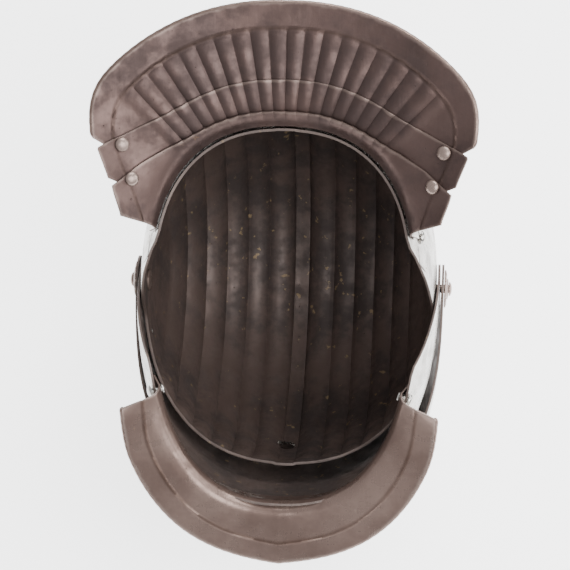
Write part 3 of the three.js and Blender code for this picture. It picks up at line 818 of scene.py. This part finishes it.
@dataclass
class Skull(ShellPlate):
    """Fluted bowl with a low comb, open at the face and neck."""

    flutes: int = 6
    flute_depth: float = 3.0
    flute_pitch: float = 7.6
    flute_widening: float = 0.45
    comb_top: float = 6.0
    comb_foot: float = 8.5
    per_flute: int = 8

    def columns(self) -> list[float]:
        """Gives column places: 0 to 1 over the comb, a step for each flute, then the plain side."""
        comb = [0, 0.35, 0.65, 0.72, 0.8, 0.9]
        fluted = [1 + step / self.per_flute for step in range(self.flutes * self.per_flute)]
        side = [1 + self.flutes + step / 22 for step in range(22)]
        ear = [2 + self.flutes + step / 8 for step in range(9)]
        return comb + fluted + side + ear

    def angle(self, place: float, direction: np.ndarray) -> np.ndarray:
        """Gives the angle of a column, which the flutes gather towards brow and nape."""
        at = (np.asarray(direction, float) + 90) % 360 - 90
        gather = 1 - 0.07 * smoothstep(60 - at, 0, 60) - 0.22 * smoothstep(at, 150, 234)
        top = self.form.angle_across(self.comb_top)
        foot = self.form.angle_across(self.comb_foot)
        if place <= 0.7:
            return np.full(np.shape(at), top * place / 0.7)
        if place <= 1:
            return np.full(np.shape(at), top + (foot - top) * (place - 0.7) / 0.3)
        count = min(place - 1, self.flutes)
        side = foot + (self.flute_pitch * count + self.flute_widening * count**2) * gather
        share = max(0.0, place - 1 - self.flutes)
        if share >= 1:
            return self.ear_angle(share - 1, direction)
        return side + (self.ear_angle(0, direction) - side) * math.sin(share * math.pi / 2) ** 0.95

    def lift(self, place: float, direction: np.ndarray) -> np.ndarray:
        """Gives the comb's height, or the hollow of a flute between two sharp ridges."""
        at = (np.asarray(direction, float) + 90) % 360 - 90
        if place <= 1:
            drop = 1 - float(smoothstep(place, 0.68, 1.0)) - 0.10 * (place / 0.7) ** 2 * (place <= 0.7)
            return value_at(COMB_HEIGHT, at) * drop
        if place >= 1 + self.flutes:
            return np.zeros(np.shape(at))
        depth = self.flute_depth * smoothstep(at, 6, 14) * (1 - smoothstep(at, 222, 232))
        share = (place - 1) % 1
        return -depth * math.sin(math.pi * share) ** 0.85


def skull_outline() -> Outline:
    """Gives the bowl's outline in the side view."""
    neck, nape, cheek, brow = (-10.0, -100.0), (-84.0, -116.0), (24.0, -8.0), (127.0, 15.0)
    behind = onward(neck, nape, 3)
    rear = quadratic(neck, (cheek[0] - 8, (cheek[1] + neck[1]) / 2), cheek)
    front = quadratic(cheek, (cheek[0] + 6, cheek[1] + 10), (cheek[0] + 36, cheek[1] + 14))
    return [neck, *rear, *front, brow, (200, brow[1]), (200, 200), (behind[0], 200), behind]


def bevor_outline(ear: float) -> Outline:
    """Gives the bevor's outline in the side view, about an ear of some radius."""
    top, rear, front, upper = (-14.0, -56.0), (-8.0, -96.0), (90.0, -136.0), (125.0, -52.0)
    return [*arc(ear, 60, 200), top, rear, onward(rear, front, 2), (200, upper[1]), upper]


def visor_outline(ear: float) -> Outline:
    """Gives the visor's outline in the side view, about an ear of some radius."""
    low, high = arc(ear, 240, 240, 1)[0], arc(ear, 100, 100, 1)[0]
    return [*arc(ear, 100, 240), onward(low, (113, -86), 1.6), onward(high, (133.6, 36.55), 1.6)]


def length_to_end(steps: np.ndarray) -> np.ndarray:
    """Gives the length left from each point of a row to its end, from the lengths of the steps."""
    left = np.cumsum(steps[:, ::-1], axis=1)[:, ::-1]
    return np.concatenate([left, np.zeros((len(steps), 1))], axis=1)


@dataclass
class NeckSurface:
    """Flared surface that hangs from a plate's edge, its seat following the plate past the edge."""

    form: Form
    edge: tuple[tuple[float, float], tuple[float, float]]
    below: float

    def points(self, bearing: np.ndarray, place: np.ndarray) -> np.ndarray:
        """Gives points of the surface.

        Args:
            bearing: Bearings in degrees.
            place: Places from 0 at the seat to 1 at the rim.

        Returns:
            The points in the helmet frame.
        """
        folded = np.abs(np.where(bearing > 180, bearing - 360, bearing))
        turn = np.radians(bearing)
        (start_y, start_z), (end_y, end_z) = self.edge
        edge_z = np.full(np.shape(bearing), -110.0)
        for _ in range(4):
            y = NECK_CENTRE_Y - self.form.radius_about_neck(bearing, edge_z) * np.cos(turn)
            edge_z = start_z + (end_z - start_z) * (y - start_y) / (end_y - start_y)
        past = np.maximum(0, (place - LAME_SEAT_SHARE) / (1 - LAME_SEAT_SHARE))
        seated = np.minimum(place / LAME_SEAT_SHARE, 1)
        fall = value_at(RIM_HEIGHT, folded) - (edge_z - self.below)
        z = edge_z + LAME_OVERLAP * (1 - seated) - self.below * seated + fall * value_at(NECK_DROP, past)
        along = self.form.radius_about_neck(bearing, np.maximum(z, edge_z))
        radius = along + (value_at(RIM_RADIUS, folded) - along) * value_at(NECK_FLARE, past)
        return np.stack([radius * np.sin(turn), NECK_CENTRE_Y - radius * np.cos(turn), z], axis=-1)

    def normals(self, bearing: np.ndarray, place: np.ndarray) -> np.ndarray:
        """Gives the outward normals at points of the surface."""
        step = 0.01
        along = self.points(bearing + step, place) - self.points(bearing - step, place)
        down = self.points(bearing, place + step) - self.points(bearing, place - step)
        normal = np.cross(down, along)
        return normal / np.linalg.norm(normal, axis=-1, keepdims=True)


NECK = NeckSurface(SKULL_FORM.inset(-LAME_GAP), ((-10.0, -100.0), (-84.0, -116.0)), 0.0)
FRONT = NeckSurface(BEVOR_FORM.inset(PLATE_THICKNESS + GORGET_GAP), ((-8.0, -96.0), (90.0, -136.0)), 4.0)


@dataclass
class Lame:
    """A flared neck plate, fluted in its middle, with an incised line along its lower edge."""

    name: str
    surface: NeckSurface
    first: float
    last: float
    offset: float
    top_edge: float = 0.0
    lower_edge: float = 1.0
    closing: float = 400.0
    edge_power: float = 1.0
    centre: float = 0.0
    fluted_to: float = 49.0
    flute_pitch: float = 5.2
    flute_depth: float = 1.3
    line_from_edge: float = 17.0
    columns: int = 260
    rows: int = 54
    swung: bool = False

    def places(self, bearing: np.ndarray, share: np.ndarray) -> np.ndarray:
        """Gives places on the neck surface for shares of this plate's width."""
        closed = np.minimum(np.abs(bearing - self.centre) / self.closing, 1) ** self.edge_power
        foot = self.lower_edge + (1 - self.lower_edge) * closed
        return self.top_edge + (foot - self.top_edge) * share

    def from_rim(self, bearing: np.ndarray, place: np.ndarray) -> np.ndarray:
        """Gives how far points lie from the neck guard's rim along the surface, in millimetres."""
        steps = np.linspace(0, 1, 61)
        line = bearing[:, :1] + 0 * steps[None, :]
        points = self.surface.points(line, np.broadcast_to(steps, line.shape))
        length = length_to_end(np.linalg.norm(np.diff(points, axis=1), axis=-1))
        return np.array([np.interp(row, steps, far) for row, far in zip(place, length)])

    def relief(self, bearing: np.ndarray, place: np.ndarray, from_rim: np.ndarray) -> np.ndarray:
        """Gives the height of the flutes and of the incised line, in millimetres."""
        away = np.abs(bearing - self.centre)
        fade = (1 - smoothstep(away, self.fluted_to - 3, self.fluted_to + 4)) * smoothstep(place, 0.2, 0.45)
        flutes = -self.flute_depth * np.abs(np.sin(np.pi * away / self.flute_pitch)) ** 0.8
        inside_line = smoothstep(from_rim, self.line_from_edge - 1, self.line_from_edge + 4)
        line = -0.55 * np.exp(-(((from_rim - self.line_from_edge) / 0.8) ** 2))
        return flutes * fade * inside_line + line

    def grid(self, shares: np.ndarray) -> tuple[np.ndarray, np.ndarray, np.ndarray]:
        """Gives the plate's outer face over shares of its width.

        Args:
            shares: Shares of the width, from the top edge to the lower edge.

        Returns:
            Points in the helmet frame, their distance from the lower edge and how much they lie in the
            incised line, which is darkened there as painted shade.
        """
        bearings = np.linspace(self.first, self.last, self.columns + 1)
        bearing, share = np.meshgrid(bearings, shares, indexing="ij")
        place = self.places(bearing, share)
        points = self.surface.points(bearing, place)
        steps = np.linalg.norm(np.diff(points, axis=1), axis=-1)
        from_edge = length_to_end(steps)
        from_rim = self.from_rim(bearing, place)
        lift = self.offset + self.relief(bearing, place, from_rim)
        # Share of the incised line, where the shader paints shade.
        crease = np.exp(-(((from_rim - self.line_from_edge) / 1.0) ** 2))
        return points + self.surface.normals(bearing, place) * lift[..., None], from_edge, crease

    def build(self) -> bpy.types.Object:
        """Builds the plate with its wall."""
        points, from_edge, crease = self.grid(np.linspace(0, 1, self.rows + 1))
        ends = np.linspace(0, 1, self.columns + 1)[:, None]
        along = np.minimum(ends, 1 - ends) * 300 + 0 * from_edge
        edge = np.minimum(np.minimum(from_edge, from_edge[:, :1] - from_edge + 3), along)
        plate = Bench.sheet(self.name, to_row(points, self.swung), edge, crease)
        Bench.face_out(plate, to_row(np.array([0.0, NECK_CENTRE_Y, -300.0]), self.swung))
        Bench.thicken(plate, LAME_THICKNESS)
        return plate

    def roped_rim(self, name: str, radius: float = 2.1, pitch: float = 6.5) -> bpy.types.Object:
        """Builds the turned rim, a bead with diagonal hammered ropes along the lower edge.

        Args:
            name: Name of the piece.
            radius: Radius of the bead in millimetres.
            pitch: Distance from one rope to the next in millimetres.

        Returns:
            The bead.
        """
        points, _, _ = self.grid(np.array([0.0, 0.97, 1.0]))
        path, inward = points[:, 2], points[:, 1] - points[:, 2]
        length = np.concatenate([[0], np.cumsum(np.linalg.norm(np.diff(path, axis=0), axis=1))])
        count = int(length[-1] / 1.1)
        at = np.linspace(0, length[-1], count + 1)
        path = np.stack([np.interp(at, length, path[:, k]) for k in range(3)], axis=1)
        inward = np.stack([np.interp(at, length, inward[:, k]) for k in range(3)], axis=1)
        inward /= np.linalg.norm(inward, axis=1, keepdims=True)
        along = np.gradient(path, axis=0)
        along /= np.linalg.norm(along, axis=1, keepdims=True)
        side = np.cross(along, inward)
        centre = path + inward * 0.6 + side * np.sign(side[:, 2].sum()) * (LAME_THICKNESS / 2)
        around = np.radians(np.linspace(0, 360, 19))
        end = np.clip(np.minimum(at, length[-1] - at) / 2.5, 0, 1)[:, None] ** 0.5
        twist = np.abs(np.sin(around[None, :] + np.pi * at[:, None] / pitch))
        size = radius * (0.9 + 0.1 * twist**0.7) * np.maximum(end, 0.02)
        ring = np.cos(around)[None, :, None] * inward[:, None] + np.sin(around)[None, :, None] * side[:, None]
        bead = Bench.sheet(name, to_row(centre[:, None] + ring * size[..., None], self.swung))
        Bench.joined(bead, merge=3e-5)
        Bench.close(bead, fill=True)
        return bead


@dataclass(frozen=True)
class RivetPlace:
    """Where a rivet goes through: in the row frame, with the faces that it grips."""

    point: np.ndarray
    axis: np.ndarray
    low: float
    high: float


@dataclass
class Rivet:
    """Domed rivet with a flat foot."""

    dome: float = 4.75
    dome_height: float = 2.6
    foot: float = 3.5
    foot_height: float = 1.2
    shank: float = 2.1

    def build(self, name: str, place: RivetPlace) -> bpy.types.Object:
        """Builds the rivet through its place, the dome towards the axis.

        Args:
            name: Name of the piece.
            place: Where it goes.

        Returns:
            The rivet.
        """
        low, high = place.low, place.high
        rings = [(self.foot * 0.85, low - self.foot_height), (self.foot, low - self.foot_height * 0.7)]
        rings += [(self.foot, low), (self.shank, low), (self.shank, high), (self.dome * 0.96, high)]
        rings += [(self.dome, high + 0.25)]
        for angle in range(12, 89, 12):
            turn = math.radians(angle)
            rise = 0.25 + (self.dome_height - 0.25) * math.sin(turn)
            rings.append((self.dome * math.cos(turn), high + rise))
        obj = Bench.lathe(name, rings, 28)
        Bench.place(obj, place.point, place.axis)
        Bench.smooth(obj, 40)
        return obj


def lame_rivet(surface: NeckSurface, bearing: float, place: float, faces: tuple[float, float],
               dome_inside: bool, swung: bool) -> RivetPlace:
    """Finds where a rivet goes through two lames.

    Args:
        surface: Surface that the plates follow.
        bearing: Bearing of the rivet.
        place: Place of the rivet on the surface.
        faces: Inner and outer face that the rivet grips, in millimetres over the surface.
        dome_inside: Whether the dome is on the inner side.
        swung: Whether the plates are swung open with the face.

    Returns:
        The rivet's place.
    """
    at = (np.array([bearing]), np.array([place]))
    point, normal = surface.points(*at)[0], surface.normals(*at)[0]
    inner, outer = faces[0] - RIVET_PLAY, faces[1] + RIVET_PLAY
    start = to_row(point, swung)
    axis = (to_row(point + normal, swung) - start) / MM
    if dome_inside:
        return RivetPlace(start, -axis, -outer, -inner)
    return RivetPlace(start, axis, inner, outer)


@dataclass
class Rosette:
    """Stepped washer with petals round the pivot pin."""

    radius: float = 13.5
    bore: float = 3.4
    height: float = 2.8
    petals: int = 12

    def build(self, name: str, side: int) -> bpy.types.Object:
        """Builds the rosette on one side of the helmet.

        Args:
            name: Name of the piece.
            side: 1 on the right and -1 on the left.

        Returns:
            The rosette.
        """
        base = VISOR_FORM.half_width + SEAT_GAP
        steps = [
            (0.98, 0), (1, 0.1), (1, 0.28), (0.95, 0.4), (0.84, 0.56), (0.72, 0.62), (0.62, 0.5),
            (0.57, 0.55), (0.5, 0.92), (0.42, 1),
        ]
        shares = [(self.bore, 0), *((self.radius * wide, high) for wide, high in steps), (self.bore, 1)]
        around = np.radians(np.linspace(0, 360, self.petals * 10 + 1))
        radius = np.array([r for r, _ in shares])[None, :]
        height = np.array([base + share * self.height for _, share in shares])[None, :]
        scallop = np.abs(np.cos(around * self.petals / 2))[:, None]
        outer = smoothstep(radius, self.radius * 0.62, self.radius)
        radius = radius * (1 - 0.11 * outer * (1 - scallop) ** 1.2)
        crease = 0.32 * outer * (1 - scallop) ** 2 * (height > base + 0.3)
        points = np.stack([
            side * (height - crease) + 0 * radius,
            radius * np.cos(around)[:, None] * side,
            radius * np.sin(around)[:, None],
        ], axis=-1)
        points = np.concatenate([points, points[:, :1]], axis=1)
        obj = Bench.sheet(name, to_row(points, False))
        Bench.joined(obj, merge=1e-5)
        Bench.close(obj)
        Bench.smooth(obj, 40)
        return obj


@dataclass
class Helmet:
    """The whole helmet: bowl, neck guard, face and their fasteners."""

    finishes: Finishes

    def build_skull(self) -> None:
        """Builds the bowl, cuts its holes and dresses it."""
        skull = Skull("skull_fluted", SKULL_FORM, skull_outline(), 110.0, -18.43, SKULL_THICKNESS, 130,
                      False, SKULL_EAR)
        plate = skull.build()
        turn = math.radians(BROW_HOLE_DIRECTION)
        brow = np.array([-0.02, math.cos(turn), math.sin(turn)])
        start, tip = to_row(brow * 125, False), to_row(brow * 126, False)
        hole = Bench.rod(BROW_HOLE_RADIUS, 40, start, (tip - start) / MM, 9)
        place = to_row(np.array(TEMPLE_HOLE_PLACE), False)
        temple = Bench.rod(TEMPLE_HOLE_RADIUS, 30, place, np.array([1.0, 0, 0]), 20)
        stud = self.stud_place()
        Bench.cut(plate, hole, temple, *Bench.rivet_holes(stud))
        Bench.smooth(plate, 28)
        dress(plate, Body.SKULL, ("skull",), (self.finishes.bright, self.finishes.bowl))
        piece = Rivet().build("latch_stud_domed", stud)
        dress(piece, Body.SKULL, ("latch_stud",), (self.finishes.bright,))

    def stud_place(self) -> RivetPlace:
        """Finds where the latch stud stands on the bowl."""
        at = np.array([STUD_DIRECTION]), np.array([STUD_ANGLE])
        point = SKULL_FORM.point(*at, 0.0)[0]
        normal = SKULL_FORM.point(*at, 1.0)[0] - point
        start = to_row(point, False)
        axis = (to_row(point + normal, False) - start) / MM
        return RivetPlace(start, axis, -SKULL_THICKNESS - RIVET_PLAY, RIVET_PLAY)

    def build_neck(self) -> None:
        """Builds the three neck lames with their rivets and the roped rim."""
        step = LAME_THICKNESS + LAME_GAP
        upper = Lame("neck_lame_upper_fluted", NECK, -84, 84, LAME_THICKNESS, 0, 0.37, 75, 6)
        middle = Lame("neck_lame_middle_fluted", NECK, -73, 73, step + LAME_THICKNESS, 0.26, 0.58, 66, 7)
        lower = Lame("neck_lame_lower_fluted", NECK, -64, 64, 2 * step + LAME_THICKNESS, 0.47, 1, 64, 1)
        spots = [("upper", 70.0, 0.72, 0), ("lower", 61.5, 0.77, 1)]
        sides = (("left", -1), ("right", 1))
        places = {}
        for word, bearing, place, layer in spots:
            for side, sign in sides:
                faces = (layer * step, layer * step + 2 * LAME_THICKNESS + LAME_GAP)
                places[word, side] = lame_rivet(NECK, sign * bearing, place, faces, True, False)
        holes = {"upper": ("upper",), "middle": ("upper", "lower"), "lower": ("lower",)}
        bodies = {"upper": Body.SKULL, "middle": Body.MIDDLE_LAME, "lower": Body.LOWER_LAME}
        for word, lame in (("upper", upper), ("middle", middle), ("lower", lower)):
            plate = lame.build()
            held = [places[hole, side] for hole in holes[word] for side, _ in sides]
            Bench.cut(plate, *Bench.rivet_holes(*held))
            Bench.smooth(plate, 30)
            finishes = (self.finishes.bright, self.finishes.neck)
            dress(plate, bodies[word], (f"neck_lame_{word}",), finishes)
        for (word, side), place in places.items():
            body = Body.SKULL if word == "upper" else Body.MIDDLE_LAME
            rivet = Rivet().build(f"neck_rivet_{word}_{side}_domed", place)
            dress(rivet, body, (f"neck_rivet_{word}_{side}",), (self.finishes.flange,))
        bead = lower.roped_rim("neck_rim_roped")
        Bench.smooth(bead, 60)
        dress(bead, Body.LOWER_LAME, (), (self.finishes.flange,))

    def build_face(self) -> None:
        """Builds the bevor, the gorget lame and the visor."""
        bevor = ShellPlate("bevor_plate", BEVOR_FORM, bevor_outline(FACE_EAR), -60.0, -230.0,
                           PLATE_THICKNESS, 90, True, FACE_EAR)
        plate = bevor.build()
        grip = (-LAME_THICKNESS, GORGET_GAP + PLATE_THICKNESS)
        rivets = {
            side: lame_rivet(FRONT, bearing, 0.08, grip, False, True)
            for side, bearing in (("left", 256.0), ("right", 104.0))
        }
        Bench.cut(plate, *Bench.rivet_holes(*rivets.values()))
        Bench.smooth(plate)
        dress(plate, Body.BEVOR, ("bevor",), (self.finishes.bright, self.finishes.bowl))
        for side, place in rivets.items():
            rivet = Rivet().build(f"gorget_rivet_{side}_domed", place)
            dress(rivet, Body.BEVOR, (f"gorget_rivet_{side}",), (self.finishes.bright,))

        gorget = Lame("gorget_lame_flared", FRONT, 100, 260, 0.0, centre=180, fluted_to=-20, swung=True,
                      line_from_edge=15.0)
        front = gorget.build()
        Bench.cut(front, *Bench.rivet_holes(*rivets.values()))
        Bench.smooth(front)
        finishes = (self.finishes.bright, self.finishes.flange)
        dress(front, Body.GORGET, ("gorget_lame",), finishes)
        bead = gorget.roped_rim("gorget_rim_roped", 2.0)
        Bench.smooth(bead, 60)
        dress(bead, Body.GORGET, (), (self.finishes.flange,))
        self.build_visor()

    def build_visor(self) -> None:
        """Builds the visor with its breath slots and sights."""
        visor = ShellPlate("visor_plate", VISOR_FORM, visor_outline(FACE_EAR), -15.0, -190.0,
                           PLATE_THICKNESS, 84, True, FACE_EAR)
        plate = visor.build()
        slots = ((20, -20, -43), (34, -20, -43), (48, -21, -41))
        boxes = [(side * x, top, bottom, 4.8) for x, top, bottom in slots for side in (-1, 1)]
        boxes += [(side * 37.5, 18.0, 13.0, 57.0) for side in (-1, 1)]
        cutters = []
        for x, top, bottom, width in boxes:
            Bench.clear()
            bpy.ops.mesh.primitive_cube_add(size=1)
            cutter = Bench.named("cutter")
            box = np.array([tuple(v.co) for v in cutter.data.vertices])
            box = box * np.array([width, 120, top - bottom]) + np.array([x, 140, (top + bottom) / 2])
            cutter.data.vertices.foreach_set("co", box.ravel())
            Bench.modified(cutter, "BEVEL", width=1.6, segments=4, limit_method="NONE")
            shaped = np.array([tuple(v.co) for v in cutter.data.vertices])
            cutter.data.vertices.foreach_set("co", to_row(shaped, True).ravel())
            cutters.append(cutter)
        Bench.cut(plate, *cutters)
        Bench.smooth(plate)
        dress(plate, Body.VISOR, ("visor",), (self.finishes.bright, self.finishes.bowl))

    def build_pivots(self) -> None:
        """Builds the rosettes and the pivot pins."""
        reach = VISOR_FORM.half_width + 2.8 + 2 * SEAT_GAP
        pin = Rivet(5.0, 2.2, 7.0, 1.5, 3.0)
        for word, side in (("left", -1), ("right", 1)):
            rosette = Rosette().build(f"pivot_rosette_{word}_petalled", side)
            # The rosettes and pins take the dark browned flange finish in place of polished steel: a painted
            # dark reflection.
            dress(rosette, Body.SKULL, (f"pivot_rosette_{word}",), (self.finishes.flange,))
            axis = np.array([float(side), 0.0, 0.0])
            place = RivetPlace(pivot_point(), axis, SKULL_HALF_WIDTH - SKULL_THICKNESS - SEAT_GAP, reach)
            piece = pin.build(f"pivot_pin_{word}_domed", place)
            dress(piece, Body.SKULL, (f"pivot_pin_{word}",), (self.finishes.flange,))


@dataclass
class Studio:
    """Pale floor, soft lights and the camera."""

    view: tuple[float, float, float] = (0.0708, -0.3543, 1.0)
    distance: float = 1.6
    lens: float = 143.2
    roll: float = 3.15
    shift: tuple[float, float] = (-0.0098, -0.0018)

    def build(self) -> None:
        """Builds the floor, the lights and the camera."""
        Bench.clear()
        bpy.ops.mesh.primitive_plane_add(size=12, location=(0, 0, -0.0006))
        floor = Bench.named("floor")
        bpy.ops.object.transform_apply(location=True)
        shader = Shader("pale_floor")
        grain = shader.noise(8, 2)
        pale = shader.finish((0.93, 0.93, 0.93, 1), 0.75 + grain * 0.05, 0.0, grain, 0.0, FLOOR_GLOW)
        floor.data.materials.append(pale)
        self.light("key_light", (0.8, -0.7, 1.8), 1.4, 42)
        self.light("rear_light", (0.5, 1.4, 1.6), 1.5, 44)
        self.light("side_light", (1.8, 0.1, 1.0), 1.2, 20)
        world = bpy.data.worlds.new("studio")
        bpy.context.scene.world = world
        world.use_nodes = True
        background = world.node_tree.nodes["Background"]
        background.inputs[0].default_value = (0.95, 0.97, 1.0, 1)
        background.inputs[1].default_value = 0.8
        self.camera()

    def light(self, name: str, place: tuple[float, float, float], size: float, power: float) -> None:
        """Adds a soft area light that points at the helmet."""
        data = bpy.data.lights.new(name, "AREA")
        data.size = size
        data.energy = power
        obj = bpy.data.objects.new(name, data)
        bpy.context.scene.collection.objects.link(obj)
        obj.location = place
        obj.rotation_euler = (Vector((0, 0, 0.15)) - Vector(place)).to_track_quat("-Z", "Y").to_euler()

    def camera(self) -> None:
        """Sets the camera at the photograph's view."""
        data = bpy.data.cameras.new("camera")
        data.lens = self.lens
        data.sensor_width = 36
        data.shift_x, data.shift_y = self.shift
        obj = bpy.data.objects.new("camera", data)
        bpy.context.scene.collection.objects.link(obj)
        back = Vector(self.view).normalized()
        right = Vector((0, 1, 0)).cross(back).normalized()
        up = back.cross(right)
        turn = Matrix((right, up, back)).transposed().to_4x4()
        roll = Matrix.Rotation(math.radians(self.roll), 4, "Z")
        obj.matrix_world = Matrix.Translation(Vector(pivot_point()) + back * self.distance) @ turn @ roll
        bpy.context.scene.camera = obj


def main() -> None:
    """Builds the helmet and the studio."""
    logging.basicConfig(level=logging.INFO, format="%(message)s")
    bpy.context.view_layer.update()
    helmet = Helmet(Finishes())
    helmet.build_skull()
    helmet.build_neck()
    helmet.build_face()
    helmet.build_pivots()
    Studio().build()


if __name__ == "__main__":
    main()
